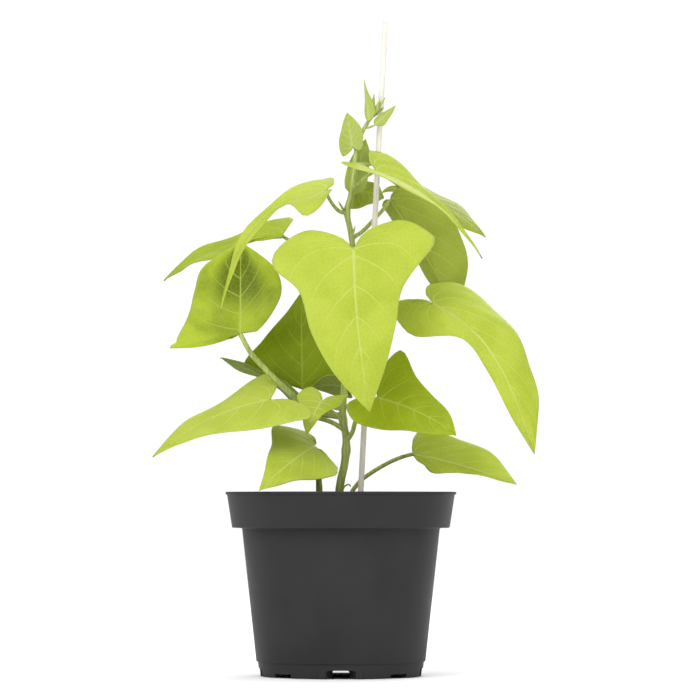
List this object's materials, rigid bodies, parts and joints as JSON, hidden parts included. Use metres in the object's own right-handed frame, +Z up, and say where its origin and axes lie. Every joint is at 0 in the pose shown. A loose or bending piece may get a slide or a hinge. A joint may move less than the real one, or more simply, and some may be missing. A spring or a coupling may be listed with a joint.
{
  "type": "potted sweet potato vine",
  "caption": "Young lime-leaved vine with heart-shaped blades on long stalks, held by a thin bamboo stake in a round black nursery pot.",
  "frame": {"origin": "on the pot's axis, on the surface the pot stands on, which is the centre of the bottom of the whole plant's box", "axes": "+Z up along the pot's axis; -Y towards the side that faces the camera; +X to the right in the picture"},
  "size_m": [0.216, 0.1304, 0.3711],
  "materials": {
    "pot": "matte black moulded plastic",
    "soil": "damp dark potting compost, crumbly",
    "stake": "dry pale split bamboo",
    "stem": "soft green stem, slightly waxy",
    "leaf_lime": "thin lime-green leaf, softly waxy, light passes through",
    "leaf_shade": "thin olive-green leaf in shade, softly waxy",
    "leaf_dark": "thin dark green inner leaf, softly waxy",
    "leaf_pale": "very young pale green leaf"
  },
  "bodies": {
    "root": {"pot": "pot", "soil": "soil", "stake": "stake", "vine_stem": "stem", "low_shoot": "stem", "low_stalk": "stem", "leaf_front_heart": "leaf_lime", "leaf_right_drooping": "leaf_lime", "leaf_upper_right": "leaf_lime", "leaf_right_back": "leaf_shade", "leaf_right_shaded": "leaf_shade", "leaf_behind_stem": "leaf_shade", "leaf_upper_left": "leaf_lime", "leaf_left_cupped": "leaf_lime", "leaf_far_left": "leaf_lime", "leaf_lower_left": "leaf_lime", "leaf_inner_dark": "leaf_dark", "leaf_edge_on": "leaf_dark", "leaf_small_centre": "leaf_lime", "leaf_small_behind": "leaf_shade", "leaf_over_rim": "leaf_lime", "leaf_lower_right": "leaf_lime", "leaf_lowest_right": "leaf_lime", "shoot_leaf_left": "leaf_pale", "shoot_leaf_back": "leaf_pale", "shoot_leaf_tip": "leaf_pale", "shoot_leaf_side": "leaf_pale"}
  },
  "joints": []
}
